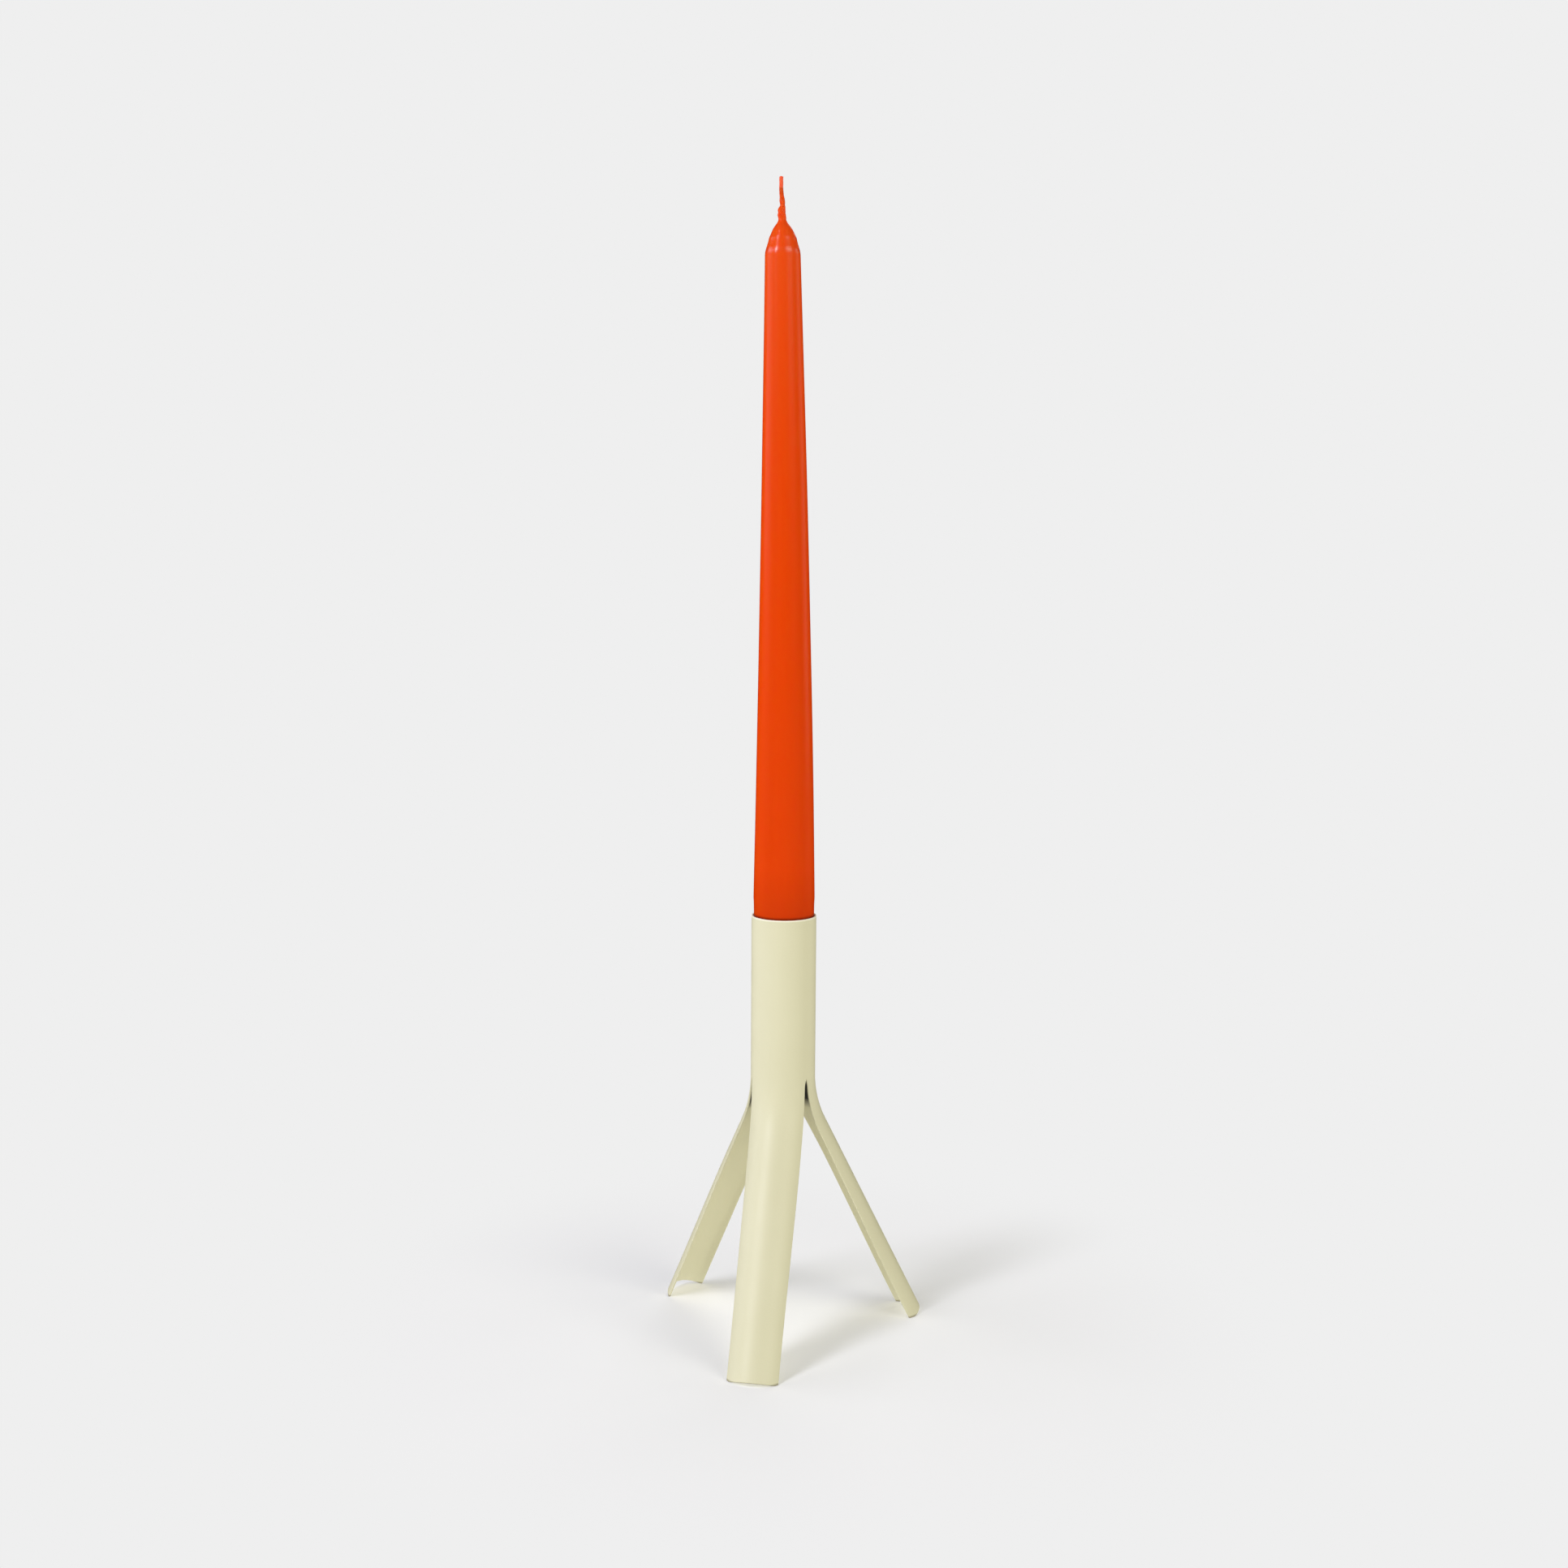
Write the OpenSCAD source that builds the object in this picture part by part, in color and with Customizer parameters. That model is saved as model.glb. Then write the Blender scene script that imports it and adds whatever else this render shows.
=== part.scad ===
// Taper candle in a three-legged stand that is cut and bent from one steel tube.
// Millimetres. +Z is up. The origin is on the tube's axis, on the plane the feet stand on.
// One leg points along -Y, the others are turned 120 degrees to each side.

/* [Stand] */
// outside diameter of the steel tube
tube_d = 25; // [25:0.5:28]
// wall thickness of the tube, coating included
tube_wall = 0.7; // [0.6:0.1:0.8]
// height of the whole stand, feet to rim
stand_h = 165; // [150:1:200]
// height at which the legs start to bend away from the collar
bend_start_z = 102.5; // [95:0.5:110]
// radius of the bend, along the middle of a leg's outer face
bend_r = 41; // [30:1:55]
// angle between a straight leg and the vertical
leg_angle = 26.8; // [20:0.2:32]
// width of the saw cut between two legs
slit_w = 1.2; // [0.8:0.1:2]
// how far the saw cuts run up past the start of the bend
slit_run = 1.1; // [1:0.1:4]
// half the width of a leg at its foot
foot_half_w = 9.9; // [9.4:0.1:10.4]
// height of the middle of a foot's square-cut end above the floor
foot_mid_lift = 1.4; // [1:0.1:2]

/* [Candle stop] */
// height of the face that the candle stands on
stop_z = 125; // [118:1:140]
// depth of the pressed cup's turned-down wall
stop_h = 6; // [4:0.5:8]
// sheet thickness of the pressed cup
stop_t = 0.8; // [0.6:0.1:1]

/* [Candle] */
// length of wax from the foot of the candle to the end of its cone
wax_l = 300; // [260:1:320]
// diameter at the foot of the candle
foot_d = 22.2; // [21.6:0.1:22.8]
// widest diameter, a little above the rim of the stand
wide_d = 23.58; // [23:0.02:23.58]
// height of the widest place above the foot of the candle
wide_z = 47; // [44:1:60]
// diameter where the candle passes the rim of the stand
rim_d = 23.3; // [22.8:0.1:23.4]
// diameter at the shoulder, where the tapered body ends
shoulder_d = 13.2; // [11:0.1:15]
// length of the cone above the shoulder
cone_l = 11; // [8:0.5:14]
// diameter of the wax where the cone ends
neck_d = 3.5; // [3:0.1:4]
// how strongly the tapered body is bowed: 1 is a straight cone
taper_bow = 1.1; // [1:0.02:1.3]
// how strongly the cone is rounded: 1 is a straight cone
cone_bow = 0.68; // [0.5:0.02:1]

/* [Wick] */
// diameter of the braided wick
wick_d = 1.5; // [1.2:0.1:1.8]
// length of wick above the end of the cone
wick_l = 16.4; // [14:0.1:20]
// diameter of the drop of wax around the wick
bead_d = 3.1; // [2.6:0.1:3.4]
// height of the middle of the drop above the end of the cone
bead_z = 3.2; // [2.8:0.1:4]
// height at which the wax on the wick ends above the end of the cone
film_l = 9.6; // [8:0.1:12]

/* [Hidden] */

$fn = 96;
tube_r = tube_d / 2;
bore_r = tube_r - tube_wall;
seam_step = 0.05;
seam_angle = 0.4;
apex_x = (slit_w / 2 + seam_step) / sin(60);
axis_r = tube_r + bend_r;
leg_l = (bend_start_z - bend_r * sin(leg_angle) - foot_mid_lift) / cos(leg_angle);
leg_half_w = tube_r * sin(60) - slit_w / 2 * cos(60);
wax_top_z = stop_z + wax_l;
shoulder_z = wax_l - cone_l;
wick_r = wick_d / 2;
taper_steps = 10;
cone_steps = 8;

// One third of the tube's wall, between two saw cuts. The leg's middle lies on +X.
module leg_section() {
    intersection() {
        difference() {
            circle(r = tube_r - seam_step);
            circle(r = bore_r + seam_step);
        }
        polygon([
            [apex_x, 0],
            [apex_x + tube_d * cos(60), tube_d * sin(60)],
            [apex_x + tube_d * 1.2, 0],
            [apex_x + tube_d * cos(60), -tube_d * sin(60)]
        ]);
    }
}

// The bend carries a leg up from its slope to the upright collar, and ends inside the collar's wall.
module leg_bend() {
    translate([axis_r, 0, 0])
        mirror([1, 0, 0])
            rotate([90, 0, 0])
                rotate_extrude(angle = leg_angle + seam_angle)
                    translate([axis_r, 0])
                        mirror([1, 0])
                            leg_section();
}

// The straight leg narrows slightly towards a foot that is sawn square.
module leg_straight() {
    translate([0, 0, -leg_l])
        intersection() {
            linear_extrude(height = leg_l)
                leg_section();
            rotate([90, 0, 90])
                linear_extrude(height = tube_d)
                    polygon([
                        [-foot_half_w, -1],
                        [foot_half_w, -1],
                        [leg_half_w + 0.5, leg_l + 1],
                        [-leg_half_w - 0.5, leg_l + 1]
                    ]);
        }
}

// One leg, in a frame whose Z runs along the straight part and whose zero is the end of the bend.
module leg() {
    translate([axis_r * (1 - cos(leg_angle)), 0, bend_start_z - axis_r * sin(leg_angle)])
        rotate([0, -leg_angle, 0]) {
            leg_bend();
            leg_straight();
        }
}

// The collar is the uncut tube, with the tops of the three saw cuts in its lower end.
module collar() {
    translate([0, 0, bend_start_z])
        difference() {
            cylinder(r = tube_r, h = stand_h - bend_start_z);
            translate([0, 0, -1])
                cylinder(r = bore_r, h = stand_h - bend_start_z + 2);
            for (turn = [-30, 90, 210])
                rotate([0, 0, turn])
                    translate([0, -slit_w / 2, -1])
                        cube([tube_d, slit_w, slit_run + 1]);
        }
}

// Collar and legs are one piece of tube. The corners of the feet are dressed flat.
module tripod_tube() {
    color([0.89, 0.88, 0.77])
        difference() {
            union() {
                collar();
                for (turn = [-90, 30, 150])
                    rotate([0, 0, turn])
                        leg();
            }
            translate([-100, -100, -20])
                cube([200, 200, 20]);
        }
}

// A shallow pressed cup, turned upside down and fixed in the tube, carries the candle.
module candle_stop() {
    color([0.6, 0.6, 0.58])
        translate([0, 0, stop_z - stop_h])
            difference() {
                cylinder(r = bore_r, h = stop_h);
                translate([0, 0, -1])
                    cylinder(r = bore_r - stop_t, h = stop_h - stop_t + 1);
            }
}

// Radius of the tapered body at a share t of the way from its widest place to the shoulder.
function taper_r(t) = (wide_d - (wide_d - shoulder_d) * pow(t, taper_bow)) / 2;

// Radius of the cone at a share t of the way from the shoulder to its end.
function cone_r(t) = (neck_d + (shoulder_d - neck_d) * pow(1 - t, cone_bow)) / 2;

// The wax: a tapered body, a rounded cone, and the drop and film of wax around the wick.
module candle_body() {
    rim_z = stand_h - stop_z;
    color([0.9, 0.29, 0.06])
        translate([0, 0, stop_z])
            rotate_extrude()
                polygon(concat(
                    [
                        [wick_r, 0],
                        [foot_d / 2, 0],
                        [rim_d / 2, rim_z],
                        [rim_d / 2 + 0.02, wide_z - 3]
                    ],
                    [for (i = [0 : taper_steps])
                        let (t = i / taper_steps)
                        [taper_r(t), wide_z + t * (shoulder_z - wide_z)]],
                    [for (i = [1 : cone_steps])
                        let (t = i / cone_steps)
                        [cone_r(t), shoulder_z + t * cone_l]],
                    [
                        [bead_d / 2 - 0.15, wax_l + bead_z - 2],
                        [bead_d / 2, wax_l + bead_z - 0.8],
                        [bead_d / 2, wax_l + bead_z + 0.5],
                        [bead_d / 2 - 0.3, wax_l + bead_z + 1.6],
                        [wick_r + 0.3, wax_l + bead_z + 2.6],
                        [wick_r + 0.12, wax_l + film_l],
                        [wick_r, wax_l + film_l]
                    ]
                ));
}

// The wick runs the whole length of the wax and stands out at the top.
module wick() {
    color([0.93, 0.45, 0.3])
        translate([0, 0, stop_z])
            cylinder(r = wick_r, h = wax_l + wick_l);
}

tripod_tube();
candle_stop();
candle_body();
wick();
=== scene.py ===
"""Looks for a taper candle in a tripod holder made of one slit and bent tube."""
import math

import bpy
from mathutils import Matrix, Vector, noise


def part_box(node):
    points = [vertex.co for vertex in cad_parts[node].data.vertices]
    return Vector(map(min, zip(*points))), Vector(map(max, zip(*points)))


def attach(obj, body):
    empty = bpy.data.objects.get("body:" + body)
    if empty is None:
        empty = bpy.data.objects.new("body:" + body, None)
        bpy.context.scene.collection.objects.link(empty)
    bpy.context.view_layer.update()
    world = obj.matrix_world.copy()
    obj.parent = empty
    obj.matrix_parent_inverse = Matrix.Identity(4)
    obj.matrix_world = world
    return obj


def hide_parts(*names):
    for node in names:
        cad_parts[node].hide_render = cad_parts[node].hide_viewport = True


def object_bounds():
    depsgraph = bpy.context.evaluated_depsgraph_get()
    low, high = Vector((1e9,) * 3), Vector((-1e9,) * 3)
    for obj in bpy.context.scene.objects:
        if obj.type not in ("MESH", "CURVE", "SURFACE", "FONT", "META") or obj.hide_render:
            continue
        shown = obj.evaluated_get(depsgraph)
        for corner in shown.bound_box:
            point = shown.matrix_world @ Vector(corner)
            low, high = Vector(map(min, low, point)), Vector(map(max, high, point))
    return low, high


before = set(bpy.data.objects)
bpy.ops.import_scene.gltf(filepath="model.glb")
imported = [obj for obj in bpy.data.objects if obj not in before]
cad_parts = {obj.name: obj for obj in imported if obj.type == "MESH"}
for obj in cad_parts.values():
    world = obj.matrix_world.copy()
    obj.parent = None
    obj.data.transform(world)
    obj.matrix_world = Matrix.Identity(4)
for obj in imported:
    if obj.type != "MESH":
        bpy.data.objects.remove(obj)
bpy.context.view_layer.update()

MM = 0.001
LOWEST, HIGHEST = 0, 1


def height_of(node, corner):
    """The height of a CAD node's lowest or highest point at rest, in millimetres."""
    return round(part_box(node)[corner][2] / MM, 3)


# The holder, in millimetres. Its sizes are the CAD's, but the slits are wider and run up to points,
# and the feet's corners and all cut edges are rounded.
TUBE_R = 12.5
WALL = 0.7
RIM_Z = height_of("tripod_tube", HIGHEST)
BEND_Z = 102.5
BEND_R = 41.0
LEG_ANGLE = math.radians(26.8)
SLIT_HALF = 0.75
SLIT_TAPER = 4.2
FOOT_CORNER = 0.25
FOOT_LIFT = 1.4
EDGE_ROUND = 0.22

# The bend turns about a level axis this far from the tube's, and a leg's straight part follows it.
AXIS_R = TUBE_R + BEND_R
BEND_L = AXIS_R * LEG_ANGLE
LEG_L = (BEND_Z - BEND_R * math.sin(LEG_ANGLE) - FOOT_LIFT) / math.cos(LEG_ANGLE)
BEND_END_X = AXIS_R * (1 - math.cos(LEG_ANGLE))
BEND_END_Z = BEND_Z - AXIS_R * math.sin(LEG_ANGLE)

# Where the saw cuts stand round the tube. Cut by hand, they are a few degrees off an even third.
CUTS = (-156.4, -31.6, 90.0, 203.6)

# Each leg's direction in degrees and, towards its foot, its twist in degrees, its push outwards and
# how much tighter its section has curled in millimetres, the share of its width that is trimmed,
# and the height of the middle of its sawn end, which takes the place of FOOT_LIFT.
LEGS = (
    {"turn": -89.7, "twist": 0.0, "push": 0.0, "curl": 0.0, "trim": 0.075, "lift": 1.7},
    {"turn": 30.0, "twist": -4.0, "push": 0.0, "curl": 3.0, "trim": 0.0, "lift": 2.2},
    {"turn": 150.0, "twist": 0.0, "push": 0.6, "curl": 1.4, "trim": 0.0, "lift": 2.2},
)

# The candle, in millimetres.
WAX_FOOT_Z = height_of("candle_body", LOWEST)
FOOT_ROUND = 0.6
WIDEST_Z = 172.0
WIDEST_R = 11.79
SHOULDER_Z = 413.8
SHOULDER_R = 6.60
TAPER_BOW = 1.1
WAX_TOP = 437.0
WICK_HOLE_R = 0.66
WICK_R = 0.72
WICK_TOP = height_of("wick", HIGHEST) - 0.35

# The candle leans this far to the camera's left, more and more between these heights.
LEAN = 2.0
LEAN_FROM_Z = 200.0
LEAN_TO_Z = 414.0

# The faint ring on the candle's tip: its height, how far it stands out, and half its width.
RING_Z = 418.9
RING_OUT = 0.10
RING_HALF = 0.9

# The tip is smoothed between these heights, over this far up and down, in millimetres.
SMOOTH_FROM_Z = 409.0
SMOOTH_TO_Z = 421.0
SMOOTHED_OVER = (-1.2, -0.6, 0.0, 0.6, 1.2)

# How wavy the body's surface is, in millimetres, and how uneven the drop of wax is, as shares of
# its radius.
WAVINESS = 0.05
DROP_OVAL = 0.10
DROP_LUMPS = 0.18

# Radii by height: from the candle's foot to its widest place, and the tip with the drop of wax.
GRIP = (
    (125.0, 11.0),
    (125.6, 11.15),
    (150.0, 11.45),
    (166.0, 11.62),
    (169.0, 11.66),
    (WIDEST_Z, WIDEST_R),
)
TIP = (
    (SHOULDER_Z, SHOULDER_R),
    (414.6, 6.36),
    (416.9, 5.60),
    (418.2, 5.24),
    (419.8, 4.70),
    (421.3, 4.02),
    (422.7, 3.24),
    (423.5, 2.64),
    (424.2, 2.12),
    (424.8, 1.74),
    (425.5, 1.46),
    (426.3, 1.37),
    (427.2, 1.45),
    (427.9, 1.52),
    (428.6, 1.40),
    (429.3, 1.24),
    (430.2, 1.08),
    (431.0, 1.00),
    (432.6, 0.93),
    (434.3, 0.82),
    (437.1, 0.74),
)

# How much further to the left the wick and the wax on it stray, by height.
WICK_KINK = (
    (420.0, 0.0),
    (425.0, 0.2),
    (427.8, 0.45),
    (429.2, 0.38),
    (431.0, 0.2),
    (432.6, 0.28),
    (434.5, 0.55),
    (437.0, 0.7),
    (441.4, 0.7),
)

# The camera stands this far round the tube, seen from above.
VIEW_TURN = math.radians(11.6)
VIEW_LEFT = Vector((-math.cos(VIEW_TURN), -math.sin(VIEW_TURN), 0.0))


def smooth_step(a, b, x):
    """Goes from 0 at a to 1 at b, level at both ends."""
    t = min(max((x - a) / (b - a), 0.0), 1.0)
    return t * t * (3 - 2 * t)


def steps(first, last, gap):
    """Evenly spaced values, with both ends among them."""
    return [first + gap * i for i in range(round((last - first) / gap) + 1)]


def parts(start, end, count):
    """The ends of so many equal parts, the start itself left out."""
    return [start + (end - start) * i / count for i in range(1, count + 1)]


def along(points, x):
    """Reads a smooth curve through a few (x, y) points. It never overshoots between them."""
    if x <= points[0][0]:
        return points[0][1]
    if x >= points[-1][0]:
        return points[-1][1]
    slopes = [(y1 - y0) / (x1 - x0) for (x0, y0), (x1, y1) in zip(points, points[1:])]
    tangents = [slopes[0]]
    for a, b in zip(slopes, slopes[1:]):
        tangents.append(0.0 if a * b <= 0 else 2 * a * b / (a + b))
    tangents.append(slopes[-1])
    i = 0
    while x > points[i + 1][0]:
        i += 1
    x0, y0 = points[i]
    x1, y1 = points[i + 1]
    h = x1 - x0
    t = (x - x0) / h
    return (
        y0 * (2 * t**3 - 3 * t**2 + 1)
        + tangents[i] * h * (t**3 - 2 * t**2 + t)
        + y1 * (-2 * t**3 + 3 * t**2)
        + tangents[i + 1] * h * (t**3 - t**2)
    )


def add_object(name, data):
    obj = bpy.data.objects.new(name, data)
    bpy.context.scene.collection.objects.link(obj)
    return obj


def add_piece(name, verts, faces, *materials):
    """A smooth-shaded mesh object from points in millimetres."""
    mesh = bpy.data.meshes.new(name)
    mesh.from_pydata([Vector(v) * MM for v in verts], [], faces)
    mesh.validate()
    mesh.polygons.foreach_set("use_smooth", [True] * len(mesh.polygons))
    for material in materials:
        mesh.materials.append(material)
    return add_object(name, mesh)


def bridge(first, second, around):
    """Quads from the ring of points that starts at first to the one that starts at second."""
    faces = []
    for i in range(around):
        j = (i + 1) % around
        faces.append((first + i, first + j, second + j, second + i))
    return faces


# ---------------------------------------------------------------- materials


class Nodes:
    """A small helper that keeps node trees readable."""

    def __init__(self, name):
        self.material = bpy.data.materials.new(name)
        self.material.use_nodes = True
        self.tree = self.material.node_tree
        self.shader = self.tree.nodes["Principled BSDF"]
        self.place = self.add("ShaderNodeTexCoord").outputs["Object"]

    def add(self, kind, **values):
        node = self.tree.nodes.new(kind)
        for key, value in values.items():
            setattr(node, key, value)
        return node

    def feed(self, socket, value):
        """Links a node's output to the socket, or gives the socket a plain value."""
        if hasattr(value, "is_linked"):
            self.tree.links.new(value, socket)
        else:
            socket.default_value = value

    def height(self):
        """How high a point is above the feet, in metres."""
        split = self.add("ShaderNodeSeparateXYZ")
        self.feed(split.inputs["Vector"], self.place)
        return split.outputs["Z"]

    def noise(self, scale, detail=3.0, rough=0.5, stretch=(1, 1, 1)):
        mapping = self.add("ShaderNodeMapping")
        self.feed(mapping.inputs["Vector"], self.place)
        self.feed(mapping.inputs["Scale"], stretch)
        texture = self.add("ShaderNodeTexNoise")
        self.feed(texture.inputs["Vector"], mapping.outputs["Vector"])
        self.feed(texture.inputs["Scale"], scale)
        self.feed(texture.inputs["Detail"], detail)
        self.feed(texture.inputs["Roughness"], rough)
        return texture.outputs["Fac"]

    def math(self, operation, *values):
        node = self.add("ShaderNodeMath", operation=operation)
        for socket, value in zip(node.inputs, values):
            self.feed(socket, value)
        return node.outputs[0]

    def spread(self, value, low, high, out_low=0.0, out_high=1.0, **settings):
        """Carries the range from low to high over to the one from out_low to out_high."""
        node = self.add("ShaderNodeMapRange", **settings)
        self.feed(node.inputs["Value"], value)
        self.feed(node.inputs["From Min"], low)
        self.feed(node.inputs["From Max"], high)
        self.feed(node.inputs["To Min"], out_low)
        self.feed(node.inputs["To Max"], out_high)
        return node.outputs["Result"]

    def band(self, value, middle, half, peak):
        """Rises to the peak where the value is at the middle, and is nothing half a band away."""
        gap = self.math("ABSOLUTE", self.math("SUBTRACT", value, middle))
        return self.spread(gap, 0.0, half, peak, 0.0)

    def mix(self, factor, a, b):
        """Colour a, or colour b where the factor is 1."""
        node = self.add("ShaderNodeMix", data_type="RGBA")
        self.feed(node.inputs["Factor"], factor)
        for colour, socket in ((a, node.inputs[6]), (b, node.inputs[7])):
            self.feed(socket, (*colour, 1.0) if isinstance(colour, tuple) else colour)
        return node.outputs[2]

    def bump(self, height, strength, distance, below=None):
        """A normal with bumps up to distance metres high, on top of the bumps in below."""
        node = self.add("ShaderNodeBump")
        self.feed(node.inputs["Height"], height)
        self.feed(node.inputs["Strength"], strength)
        self.feed(node.inputs["Distance"], distance)
        if below is not None:
            self.feed(node.inputs["Normal"], below)
        return node.outputs["Normal"]

    def emission(self, level):
        """A shader that looks equally bright from everywhere."""
        node = self.add("ShaderNodeEmission")
        self.feed(node.inputs["Color"], (level, level, level, 1.0))
        return node.outputs["Emission"]

    def surface(self, shader):
        self.feed(self.tree.nodes["Material Output"].inputs["Surface"], shader)

    def set(self, **values):
        for key, value in values.items():
            self.feed(self.shader.inputs[key.replace("_", " ")], value)


def orange_peel(n):
    """The low, soft bumps of sprayed powder, a millimetre or so across."""
    return n.bump(n.noise(900.0, 2.0, 0.55), 0.28, 0.00012)


def powder_coat(name, light, dark):
    """Fine matte powder coat: a faint orange peel, with cloudy changes of tone too small to name.

    It is painted darker in the last millimetre above the floor, painted shade where the feet meet
    the floor, and painted lighter on the rim's edge, a painted highlight as if lit from above."""
    n = Nodes(name)
    height = n.height()
    cloud = n.spread(n.noise(38.0), 0.3, 0.7)
    grain = n.spread(n.noise(2600.0, 2.0), 0.35, 0.65, 0.0, 0.12)
    # Painted shade: the coat is darkened in its last millimetre above the floor, where the feet
    # stand on it.
    painted_contact_shade = n.spread(height, 0.2 * MM, 1.0 * MM, 0.8, 0.0)
    # Painted highlight: the rim's top edge is lightened as if lit from above.
    painted_rim_highlight = n.spread(height, (RIM_Z - 0.7) * MM, (RIM_Z - 0.2) * MM, 0.0, 0.9)
    colour = n.mix(cloud, dark, light)
    colour = n.mix(grain, colour, tuple(c * 0.93 for c in dark))
    colour = n.mix(painted_contact_shade, colour, (0.20, 0.17, 0.09))
    colour = n.mix(painted_rim_highlight, colour, (0.97, 0.92, 0.74))
    n.set(
        Base_Color=colour,
        Roughness=n.spread(n.noise(160.0, 2.0), 0.3, 0.7, 0.40, 0.48),
        Specular_IOR_Level=0.42,
        Normal=n.bump(n.noise(4200.0, 1.0), 0.16, 0.00005, orange_peel(n)),
    )
    return n.material


def dark_bore(name):
    """Inside the tube the cream coat reaches only a little way in from either end. Between, it is
    nearly black and dull.
    """
    n = Nodes(name)
    height = n.height()
    low = n.spread(height, 85.5 * MM, 89.5 * MM)
    high = n.spread(height, (RIM_Z - 7.0) * MM, (RIM_Z - 2.0) * MM, 1.0, 0.0)
    mottle = n.spread(n.noise(240.0), 0.3, 0.7)
    near_black = n.mix(mottle, (0.030, 0.029, 0.027), (0.052, 0.049, 0.044))
    n.set(
        Base_Color=n.mix(n.math("MULTIPLY", low, high), (0.72, 0.685, 0.455), near_black),
        Roughness=n.spread(mottle, 0.0, 1.0, 0.5, 0.62),
        Specular_IOR_Level=0.3,
        Normal=orange_peel(n),
    )
    return n.material


def wax(name):
    """Dyed candle wax: light goes a little way in, and the surface is satin with faint streaks.

    It is painted paler towards the top, painted light as the upper candle is lit more, and painted
    darker just above the rim, painted shade where the tube keeps light from the wax. From the gap
    at the rim down to its foot, which stands in the tube, it is painted very dark, a painted shadow
    of the gap. The shoulder and the faint ring above it shine a little more."""
    n = Nodes(name)
    height = n.height()
    streak = n.spread(n.noise(60.0, 3.0, 0.5, (1.0, 1.0, 0.12)), 0.3, 0.7)
    cloud = n.spread(n.noise(130.0, 2.0), 0.3, 0.7)
    # Painted light: the wax is paler towards the top, where the lights fall on it more.
    painted_top_light = n.math("POWER", n.spread(height, 0.25, 0.414), 2.0)
    # Painted shade: darker just above the rim, where the tube keeps light from the wax.
    painted_rim_shade = n.spread(height, (RIM_Z - 1.0) * MM, (RIM_Z + 19.0) * MM, 0.85, 0.0)
    # Painted shadow: very dark from the gap at the rim down to the foot in the tube.
    painted_gap_shadow = n.spread(height, (RIM_Z + 0.1) * MM, (RIM_Z + 1.1) * MM, 0.85, 0.0)
    colour = n.mix(streak, (0.730, 0.052, 0.0003), (0.765, 0.059, 0.0006))
    colour = n.mix(n.spread(cloud, 0.0, 1.0, 0.0, 0.5), colour, (0.750, 0.056, 0.0004))
    colour = n.mix(painted_top_light, colour, (0.765, 0.073, 0.0065))
    colour = n.mix(painted_rim_shade, colour, (0.60, 0.042, 0.0003))
    colour = n.mix(painted_gap_shadow, colour, (0.16, 0.010, 0.0003))
    shoulder_shine = n.band(height, 0.4141, 0.0014, 0.55)
    ring_shine = n.band(height, 0.4186, 0.0012, 0.16)
    ripple = n.bump(n.noise(120.0, 2.0, 0.5, (1.0, 1.0, 0.22)), 0.35, 0.0004)
    n.set(
        Base_Color=colour,
        Roughness=n.spread(cloud, 0.0, 1.0, 0.22, 0.27),
        Specular_IOR_Level=n.math("ADD", n.math("ADD", shoulder_shine, ring_shine), 0.075),
        Subsurface_Weight=0.4,
        Subsurface_Radius=(1.0, 0.25, 0.08),
        Subsurface_Scale=0.0012,
        Normal=n.bump(n.noise(1500.0, 2.0), 0.10, 0.00006, ripple),
    )
    return n.material


def waxed_cotton(name):
    """Cotton braid soaked in the candle's wax, with fine fibres along it."""
    n = Nodes(name)
    fibre = n.spread(n.noise(2400.0, 3.0, 0.6, (1.0, 1.0, 0.18)), 0.3, 0.7)
    n.set(
        Base_Color=n.mix(fibre, (0.78, 0.075, 0.015), (0.88, 0.14, 0.045)),
        Roughness=n.spread(fibre, 0.0, 1.0, 0.5, 0.7),
        Specular_IOR_Level=0.25,
        Subsurface_Weight=0.4,
        Subsurface_Radius=(1.0, 0.4, 0.2),
        Subsurface_Scale=0.0008,
        Normal=n.bump(fibre, 0.5, 0.00008),
    )
    return n.material


COAT = powder_coat("cream_powder_coat", (0.730, 0.694, 0.456), (0.715, 0.678, 0.440))
BORE = dark_bore("dark_bore")
# The feet's sawn ends get a dark coat: painted shade where they stand on the floor.
FOOT_END_SHADE = powder_coat("foot_end_painted_shade", (0.30, 0.27, 0.15), (0.26, 0.23, 0.12))
STOP_COAT = powder_coat("stop_coat", (0.66, 0.63, 0.46), (0.62, 0.59, 0.43))
WAX = wax("orange_wax")
COTTON = waxed_cotton("wick_cotton")


# ---------------------------------------------------------------- holder

# The tube's materials, in the order of their slots.
TUBE_MATERIALS = (COAT, BORE, FOOT_END_SHADE)
ON_COAT, ON_BORE, ON_FOOT_END_SHADE = range(3)

# The tube's two faces. A face's number times the wall is its depth.
OUTER, INNER = 0, 1

# Where a leg's points lie across it, from one cut edge at -1 to the other at 1.
HALF_ACROSS = (-1.0, -0.945, -0.87, -0.78, -0.67, -0.56, -0.45, -0.34, -0.225, -0.11)
ACROSS = (*HALF_ACROSS, 0.0, *(-u for u in reversed(HALF_ACROSS)))
LAST = len(ACROSS) - 1
AROUND = 3 * LAST

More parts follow.
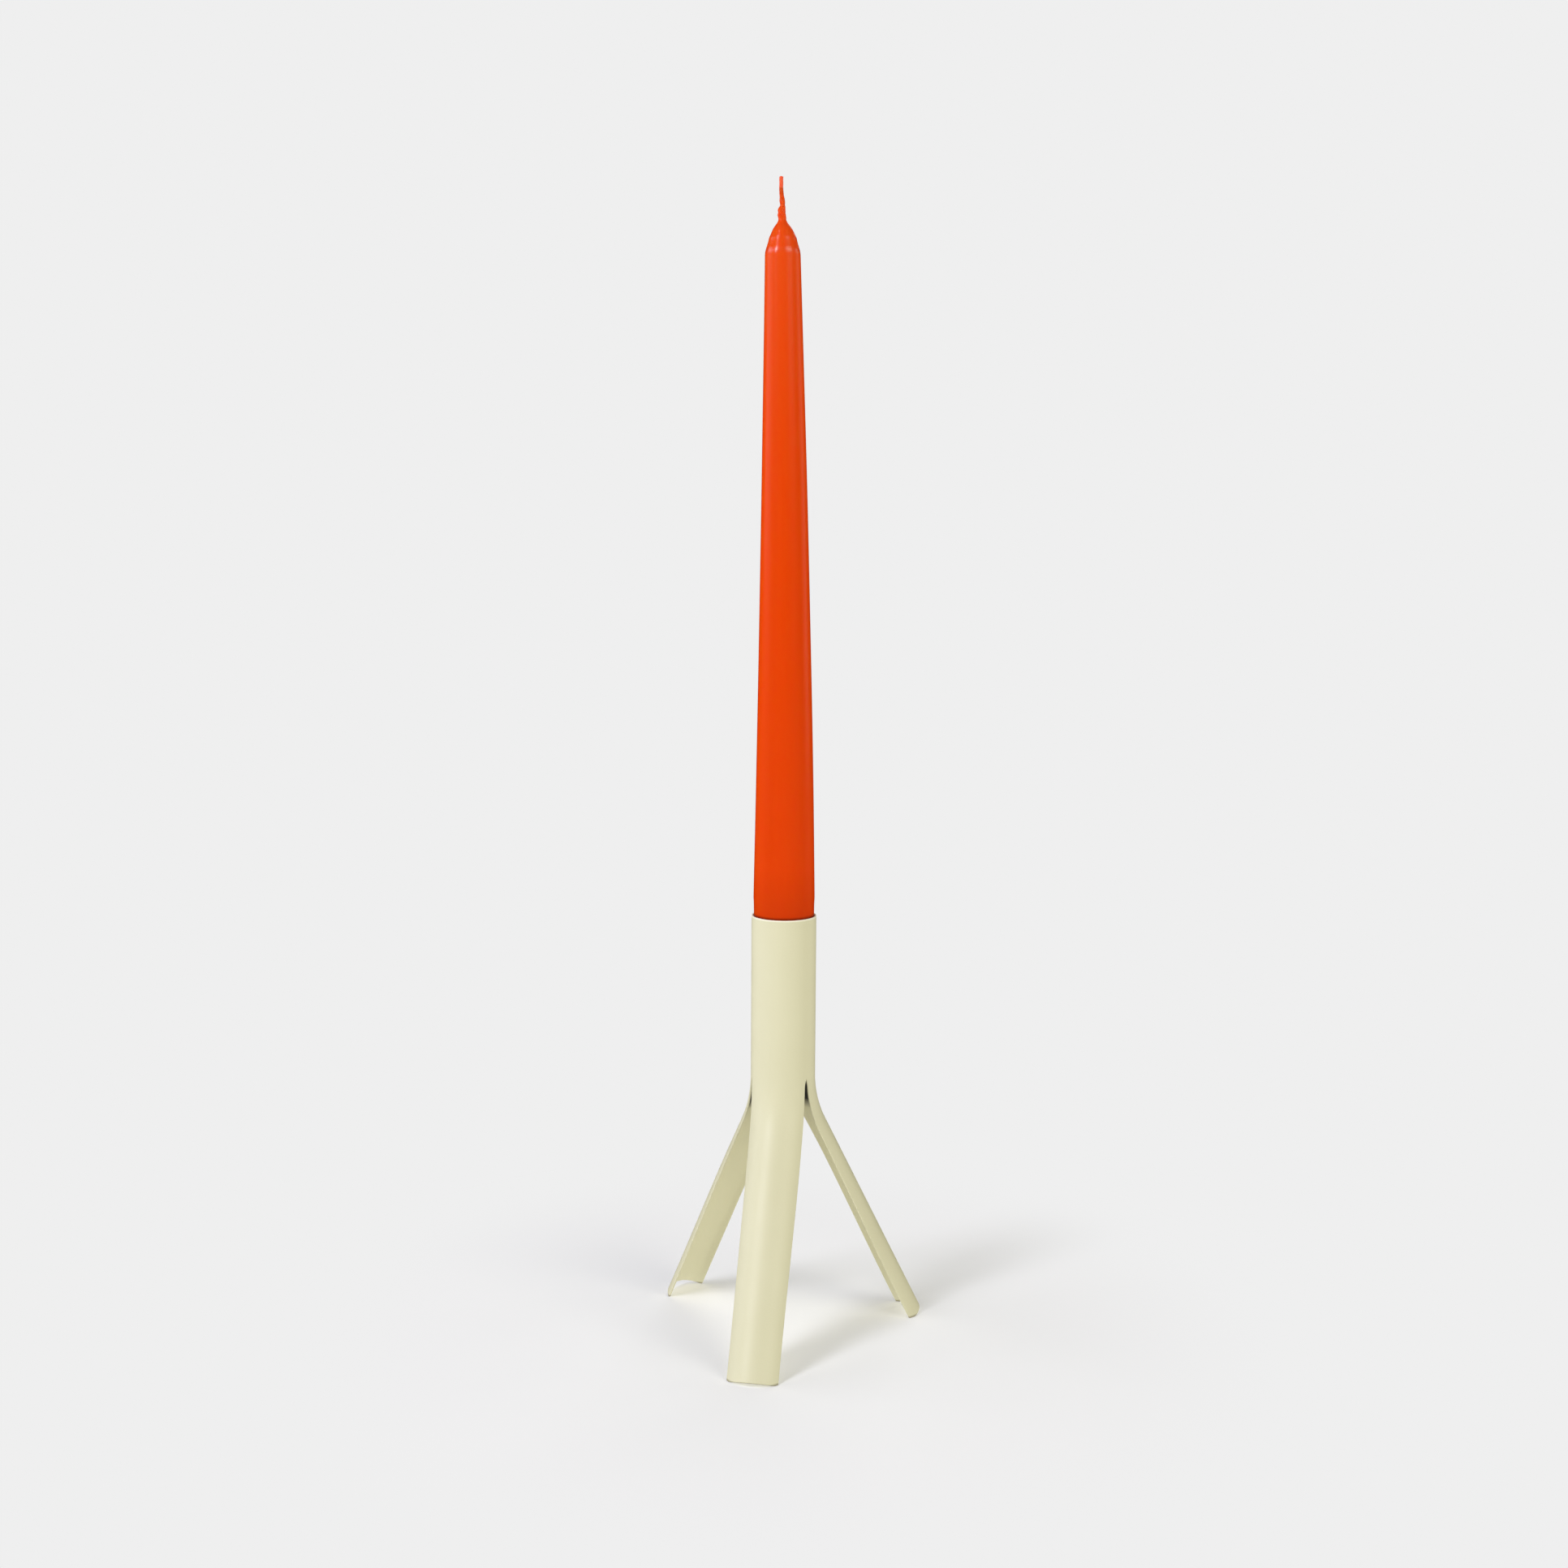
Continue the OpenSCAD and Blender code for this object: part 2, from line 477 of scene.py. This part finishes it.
# The rows of points: heights down the collar, millimetres along the bend, and shares of a leg's
# straight part. They are close together at the rim, where the slits start and at the sawn end.
LIP_Z = RIM_Z - 1.5
FINE_L = 7.0
COLLAR_ROWS = [RIM_Z, RIM_Z - 0.5, LIP_Z, *parts(LIP_Z, BEND_Z, 16)]
BEND_ROWS = [0.3, 0.7, 1.2, 1.8, 2.5, 3.3, SLIT_TAPER, 5.4, FINE_L, *parts(FINE_L, BEND_L, 12)]
STRAIGHT_ROWS = [*parts(0.0, 1.0, 34)[:-1], 1 - 0.5 / LEG_L, 1.0]
END_ROW = len(BEND_ROWS) + len(STRAIGHT_ROWS)


class TubeMesh:
    """The tube's mesh in the making. A point is called by its face, part, row and place across."""

    def __init__(self):
        self.verts = []
        self.index = {}
        self.faces = []
        self.slots = []
        self.sharp = set()

    def point(self, name, place):
        self.index[name] = len(self.verts)
        self.verts.append(place)

    def quad(self, *names, slot=ON_COAT):
        self.faces.append(tuple(self.index[name] for name in names))
        self.slots.append(slot)

    def crease(self, a, b):
        """Marks an edge that is to be rounded."""
        self.sharp.add(tuple(sorted((self.index[a], self.index[b]))))


def leg_point(x, y, down):
    """Carries a point of a leg's section, x outwards and y across, down along the leg."""
    if down <= BEND_L:
        angle = down / AXIS_R
        out = AXIS_R - (AXIS_R - x) * math.cos(angle)
        return Vector((out, y, BEND_Z - (AXIS_R - x) * math.sin(angle)))
    past_bend = down - BEND_L
    out = BEND_END_X + x * math.cos(LEG_ANGLE) + past_bend * math.sin(LEG_ANGLE)
    up = BEND_END_Z + x * math.sin(LEG_ANGLE) - past_bend * math.cos(LEG_ANGLE)
    return Vector((out, y, up))


def section_point(leg, cuts, depth, u, down):
    """A point of a leg's section, at a depth in the wall and at u between its two cut edges.

    It gives x outwards, y across, and how far the nearer cut edge is."""
    share = min(down / (BEND_L + LEG_L), 1.0)
    settled = smooth_step(0.0, 0.45, share)
    near_foot = smooth_step(0.25, 0.95, share)
    middle_r = TUBE_R - leg["curl"] * near_foot
    centre = TUBE_R - middle_r + leg["push"] * smooth_step(0.05, 0.5, share)
    r = middle_r - depth
    half = 60.0 * TUBE_R / middle_r * (1 - leg["trim"] * near_foot)
    low = (cuts[0] - leg["turn"]) * (1 - settled) + (leg["twist"] - half) * settled
    high = (cuts[1] - leg["turn"]) * (1 - settled) + (leg["twist"] + half) * settled
    kerf = math.asin(SLIT_HALF * math.sin(math.pi / 2 * min(down / SLIT_TAPER, 1.0)) / r)
    low = math.radians(low) + kerf
    high = math.radians(high) - kerf
    angle = (low + high) / 2 + u * (high - low) / 2
    to_edge = (1 - abs(u)) * (high - low) / 2 * r
    return centre + r * math.cos(angle), r * math.sin(angle), to_edge


def leg_end(leg, x, to_edge):
    """How far down a leg ends: sawn square, its corners eased, and dressed flat on the floor."""
    eased = 0.0
    if to_edge < FOOT_CORNER:
        eased = FOOT_CORNER - math.sqrt(FOOT_CORNER**2 - (FOOT_CORNER - to_edge) ** 2)
    painted_contact_shade = (BEND_END_Z + x * math.sin(LEG_ANGLE)) / math.cos(LEG_ANGLE)
    sawn = LEG_L + (FOOT_LIFT - leg["lift"]) / math.cos(LEG_ANGLE)
    return BEND_L + min(sawn - eased, painted_contact_shade)


def place_on_leg(leg, cuts, depth, u, row):
    """A point of a leg, in the whole object's frame."""
    if row <= len(BEND_ROWS):
        down = BEND_ROWS[row - 1]
        x, y, _ = section_point(leg, cuts, depth, u, down)
    else:
        # The leg's length here depends on the section, and the section on the length.
        share = STRAIGHT_ROWS[row - len(BEND_ROWS) - 1]
        down = BEND_L + share * LEG_L
        for _ in range(3):
            x, y, to_edge = section_point(leg, cuts, depth, u, down)
            down = BEND_L + share * (leg_end(leg, x, to_edge) - BEND_L)
    p = leg_point(x, y, down)
    turn = math.radians(leg["turn"])
    c, s = math.cos(turn), math.sin(turn)
    return p.x * c - p.y * s, p.x * s + p.y * c, max(p.z, 0.0)


def add_points(mesh, face):
    """One face's points: the collar's rings, and the legs' rows, whose first is the last ring."""
    depth = face * WALL
    for row, z in enumerate(COLLAR_ROWS):
        for third in range(3):
            low, high = CUTS[third : third + 2]
            for j in range(LAST):
                angle = math.radians(low + (high - low) * (ACROSS[j] + 1) / 2)
                r = TUBE_R - depth
                place = (r * math.cos(angle), r * math.sin(angle), z)
                mesh.point((face, "collar", row, third * LAST + j), place)
    for third, leg in enumerate(LEGS):
        for j in range(LAST + 1):
            on_ring = (face, "collar", len(COLLAR_ROWS) - 1, (third * LAST + j) % AROUND)
            mesh.index[(face, third, 0, j)] = mesh.index[on_ring]
        for row in range(1, END_ROW + 1):
            for j, u in enumerate(ACROSS):
                place = place_on_leg(leg, CUTS[third : third + 2], depth, u, row)
                mesh.point((face, third, row, j), place)


def add_collar(mesh):
    """The uncut collar's two faces, and its rim."""
    for j in range(AROUND):
        k = (j + 1) % AROUND
        for row in range(len(COLLAR_ROWS) - 1):
            corners = ((row, j), (row + 1, j), (row + 1, k), (row, k))
            mesh.quad(*((OUTER, "collar", *corner) for corner in corners))
            mesh.quad(*((INNER, "collar", *corner) for corner in reversed(corners)), slot=ON_BORE)
        outer = [(OUTER, "collar", 0, at) for at in (j, k)]
        inner = [(INNER, "collar", 0, at) for at in (j, k)]
        mesh.quad(outer[1], inner[1], inner[0], outer[0])
        mesh.crease(*outer)
        mesh.crease(*inner)


def add_leg(mesh, third):
    """A leg's two faces, its cut edges and its sawn end. The bend's inside belongs to the bore."""
    for row in range(END_ROW):
        slot = ON_BORE if row < len(BEND_ROWS) else ON_COAT
        for j in range(LAST):
            corners = ((row, j), (row + 1, j), (row + 1, j + 1), (row, j + 1))
            mesh.quad(*((OUTER, third, *corner) for corner in corners))
            mesh.quad(*((INNER, third, *corner) for corner in reversed(corners)), slot=slot)
        for j, first, second in ((0, OUTER, INNER), (LAST, INNER, OUTER)):
            above = (first, third, row, j), (second, third, row, j)
            below = (second, third, row + 1, j), (first, third, row + 1, j)
            mesh.quad(*above, *below)
            mesh.crease(above[0], below[1])
            mesh.crease(above[1], below[0])
    for j in range(LAST):
        outer = [(OUTER, third, END_ROW, at) for at in (j, j + 1)]
        inner = [(INNER, third, END_ROW, at) for at in (j, j + 1)]
        # The sawn end takes the dark coat, painted shade at the floor.
        mesh.quad(outer[0], inner[0], inner[1], outer[1], slot=ON_FOOT_END_SHADE)
        mesh.crease(*outer)
        mesh.crease(*inner)
    for j in (0, LAST):
        mesh.crease((OUTER, third, END_ROW, j), (INNER, third, END_ROW, j))


def round_edges(obj, sharp):
    """Rounds the edges between the given pairs of points, and keeps the result as the mesh."""
    weights = obj.data.attributes.new("bevel_weight_edge", "FLOAT", "EDGE")
    for edge in obj.data.edges:
        if tuple(sorted(edge.vertices)) in sharp:
            weights.data[edge.index].value = 1.0
    bevel = obj.modifiers.new("edges", "BEVEL")
    bevel.limit_method = "WEIGHT"
    bevel.width = EDGE_ROUND * MM
    bevel.segments = 3
    bpy.context.view_layer.update()
    finished = obj.evaluated_get(bpy.context.evaluated_depsgraph_get())
    rounded = bpy.data.meshes.new_from_object(finished)
    obj.modifiers.clear()
    obj.data = rounded


def build_tube():
    """The uncut collar, and three legs whose cut edges meet in a point under it."""
    mesh = TubeMesh()
    for face in (OUTER, INNER):
        add_points(mesh, face)
    add_collar(mesh)
    for third in range(3):
        add_leg(mesh, third)
    tube = add_piece("tube", mesh.verts, mesh.faces, *TUBE_MATERIALS)
    tube.data.polygons.foreach_set("material_index", mesh.slots)
    round_edges(tube, mesh.sharp)
    return tube


# ---------------------------------------------------------------- candle


def lean(z):
    """How far the candle's middle stands to the left of the tube's axis, in millimetres."""
    share = min(max((z - LEAN_FROM_Z) / (LEAN_TO_Z - LEAN_FROM_Z), 0.0), 1.0)
    return LEAN * share**1.6 + along(WICK_KINK, z)


def wax_radius(z):
    """The wax's radius at a height, in millimetres."""
    if z >= SHOULDER_Z:
        return along(TIP, z)
    if z >= WIDEST_Z:
        t = (z - WIDEST_Z) / (SHOULDER_Z - WIDEST_Z)
        return WIDEST_R - (WIDEST_R - SHOULDER_R) * t**TAPER_BOW
    return along(GRIP, z)


def worn_radius(z):
    """The wax's radius with the ring on its tip, and with its shoulder and foot rounded."""
    r = wax_radius(z)
    if SMOOTH_FROM_Z < z < SMOOTH_TO_Z:
        r = sum(wax_radius(z + step) for step in SMOOTHED_OVER) / len(SMOOTHED_OVER)
        r += RING_OUT * math.exp(-(((z - RING_Z) / RING_HALF) ** 2))
    into_edge = (WAX_FOOT_Z + FOOT_ROUND - z) / FOOT_ROUND
    if into_edge > 0:
        r -= FOOT_ROUND * (1 - math.sqrt(max(1 - into_edge**2, 0.0)))
    return r


def unevenness(z, a):
    """How far the wax is off its round form at a height and an angle.

    The drop of wax on the wick is lumpy, by a share of its radius, and the body is slightly wavy,
    by hundredths of a millimetre."""
    body = smooth_step(166.0, 190.0, z) * (1 - smooth_step(405.0, 414.0, z))
    knot = smooth_step(425.3, 426.6, z) * (1 - smooth_step(432.0, 435.0, z))
    wave = noise.noise(Vector((math.cos(a) * 1.3, math.sin(a) * 1.3, z * 0.018 + 3.0)))
    lump = math.sin(2 * a + 1.9 * (z - 426.0) + 0.6) * DROP_OVAL
    lump += noise.noise(Vector((math.cos(a), math.sin(a), z * 0.9))) * DROP_LUMPS
    return lump * knot, WAVINESS * wave * body


def ring_of_points(z, around, radius):
    """A ring round the candle's middle at a height. radius gives its radius at an angle."""
    middle = VIEW_LEFT * lean(z)
    ring = []
    for i in range(around):
        a = 2 * math.pi * i / around
        r = radius(a)
        ring.append((middle.x + r * math.cos(a), middle.y + r * math.sin(a), z))
    return ring


def wax_ring(z, around):
    """The outline of the wax at a height."""
    r = worn_radius(z)

    def radius(a):
        share, extra = unevenness(z, a)
        return r * (1 + share) + extra

    return ring_of_points(z, around, radius)


def build_candle():
    """The wax: one skin that runs up its outside and down again through the wick's hole."""
    heights = [WAX_FOOT_Z + up for up in (0.0, 0.15, 0.4, 0.9, 3.0)]
    heights += steps(132.0, 160.0, 4.0)
    heights += steps(RIM_Z, RIM_Z + 10.5, 0.5)
    heights += steps(RIM_Z + 11.0, 408.5, 2.5)
    heights += steps(411.0, WAX_TOP, 0.25)
    around = 144
    rings = [wax_ring(z, around) for z in heights]
    rings += [ring_of_points(z, around, lambda a: WICK_HOLE_R) for z in reversed(heights)]
    faces = []
    for k in range(len(rings)):
        after = (k + 1) % len(rings)
        faces += bridge(k * around, after * around, around)
    return add_piece("candle", [p for ring in rings for p in ring], faces, WAX)


def wick_ring(z, around):
    """The braid's outline: strands that wind both ways, drawn in at the cut end."""
    end = 1 - 0.35 * smooth_step(WICK_TOP - 0.22, WICK_TOP, z)

    def radius(a):
        one_way = 0.07 * abs(math.sin(1.5 * a - 1.15 * z))
        other_way = 0.05 * abs(math.sin(1.5 * a + 1.15 * z))
        return WICK_R * (0.93 + one_way + other_way) * end

    return ring_of_points(z, around, radius)


def build_wick():
    """The braid, from just above the stop to its cut end."""
    heights = [WAX_FOOT_Z + 0.02]
    heights += steps(130.0, 422.0, 4.0)
    heights += steps(424.0, 440.68, 0.12)
    heights += [WICK_TOP - down for down in (0.2, 0.08, 0.02, 0.0)]
    around = 36
    verts = [p for z in heights for p in wick_ring(z, around)]
    top_ring = len(verts) - around
    faces = []
    for first in range(0, top_ring, around):
        faces += bridge(first, first + around, around)
    low = VIEW_LEFT * lean(heights[0])
    high = VIEW_LEFT * lean(WICK_TOP)
    verts.append((low.x, low.y, heights[0]))
    verts.append((high.x, high.y, WICK_TOP - 0.1))
    for i in range(around):
        j = (i + 1) % around
        faces.append((j, i, len(verts) - 2))
        faces.append((top_ring + i, top_ring + j, len(verts) - 1))
    return add_piece("wick_braid", verts, faces, COTTON)


tube = build_tube()
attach(tube, "stand")
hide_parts("tripod_tube")

candle = build_candle()
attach(candle, "candle")
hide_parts("candle_body")

wick = build_wick()
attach(wick, "candle")
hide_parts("wick")

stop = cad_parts["candle_stop"]
stop.data.materials.clear()
stop.data.materials.append(STOP_COAT)


# ---------------------------------------------------------------- stage

# How light the backdrop looks, the floor's own colour, how much the floor glows by itself, and how
# bright it is as a light.
PAPER = 0.863
FLOOR_COLOUR = (0.720, 0.715, 0.688)
FLOOR_GLOW = 0.305
BOUNCE = 1.14

# The floor's half side and the lights' distance, in metres.
FLOOR_HALF = 30.0
LIGHT_DISTANCE = 3.2

# The tints of the light from the left and from the right.
COOL = (0.99, 1.0, 1.15)
COOL_FILL = (0.99, 1.0, 1.12)
WARM = (1.0, 0.985, 0.88)


def add_floor(name, height, material):
    """A wide level square at a height in metres."""
    h = FLOOR_HALF
    corners = [(-h, -h, height), (h, -h, height), (h, h, height), (-h, h, height)]
    mesh = bpy.data.meshes.new(name)
    mesh.from_pydata(corners, [], [(0, 1, 2, 3)])
    mesh.materials.append(material)
    obj = add_object(name, mesh)
    obj.visible_glossy = False
    return obj


def build_floor():
    """White paper that takes soft shadows near the object and runs out into the backdrop.

    A second plane, which the camera doesn't see, throws the paper's light back up."""
    n = Nodes("floor")
    length = n.add("ShaderNodeVectorMath", operation="LENGTH")
    n.feed(length.inputs[0], n.place)
    from_middle = length.outputs["Value"]
    n.set(
        Base_Color=(*FLOOR_COLOUR, 1.0),
        Roughness=1.0,
        Specular_IOR_Level=0.0,
        Emission_Color=(1.0, 1.0, 1.0, 1.0),
        # Painted shade: within 45 to 75 mm of the middle the paper glows a little less, which
        # deepens the contact shadows round the feet.
        Emission_Strength=n.spread(from_middle, 0.045, 0.075, FLOOR_GLOW - 0.02, FLOOR_GLOW),
    )
    mix = n.add("ShaderNodeMixShader")
    far = n.spread(from_middle, 0.06, 0.22, interpolation_type="SMOOTHERSTEP")
    n.feed(mix.inputs["Fac"], far)
    n.feed(mix.inputs[1], n.shader.outputs["BSDF"])
    n.feed(mix.inputs[2], n.emission(PAPER))
    n.surface(mix.outputs["Shader"])
    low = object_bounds()[0][2]
    floor = add_floor("floor", low, n.material)
    floor.visible_diffuse = False

    n = Nodes("floor_bounce")
    n.surface(n.emission(BOUNCE))
    bounce = add_floor("floor_bounce", low - 0.0001, n.material)
    bounce.visible_camera = False


def add_light(name, turn, rise, width, height, strength, colour=(1.0, 1.0, 1.0)):
    """A softbox facing the middle of the object, turn degrees to the right of the camera.

    Its strength is the light it throws on a surface that faces it."""
    light = bpy.data.lights.new(name, "AREA")
    light.shape = "RECTANGLE"
    light.size = width
    light.size_y = height
    light.energy = strength * math.pi * LIGHT_DISTANCE**2
    light.color = colour
    a = VIEW_TURN + math.radians(turn)
    b = math.radians(rise)
    away = Vector((math.sin(a) * math.cos(b), -math.cos(a) * math.cos(b), math.sin(b)))
    obj = add_object(name, light)
    obj.location = Vector((0, 0, 0.2)) + away * LIGHT_DISTANCE
    obj.rotation_euler = away.to_track_quat("Z", "Y").to_euler()
    obj.visible_camera = False


def add_camera():
    """It stands 0.72 m in front of the object and 0.3 m up, and looks down a little."""
    data = bpy.data.cameras.new("camera")
    data.sensor_width = 36.0
    data.lens = 43.43
    turn = Matrix.Rotation(VIEW_TURN, 4, "Z")
    spot = Matrix.Translation(turn @ Vector((-0.0003, -0.71795, 0.30318)))
    tilt = Matrix.Rotation(math.radians(90 - 6.939), 4, "X")
    roll = Matrix.Rotation(math.radians(0.362), 4, "Z")
    camera = add_object("camera", data)
    camera.matrix_world = spot @ turn @ tilt @ roll
    bpy.context.scene.camera = camera


def set_backdrop():
    """The same paper all round, which lights nothing."""
    world = bpy.data.worlds.new("studio")
    world.use_nodes = True
    world.node_tree.nodes["Background"].inputs["Color"].default_value = (PAPER, PAPER, PAPER, 1.0)
    world.cycles_visibility.diffuse = False
    world.cycles_visibility.glossy = False
    bpy.context.scene.world = world
    bpy.context.scene.view_settings.view_transform = "Standard"


build_floor()
add_camera()
add_light("softbox_left", -48.0, 37.0, 0.6, 2.3, 1.88, COOL)
add_light("panel_left", -92.0, 18.0, 2.4, 1.8, 1.00, COOL_FILL)
add_light("softbox_right", 45.0, 30.0, 1.8, 2.2, 1.36, WARM)
add_light("panel_right", 105.0, 12.0, 1.6, 1.8, 0.40, WARM)
add_light("panel_back", 165.0, 40.0, 2.0, 2.0, 0.6)
set_backdrop()
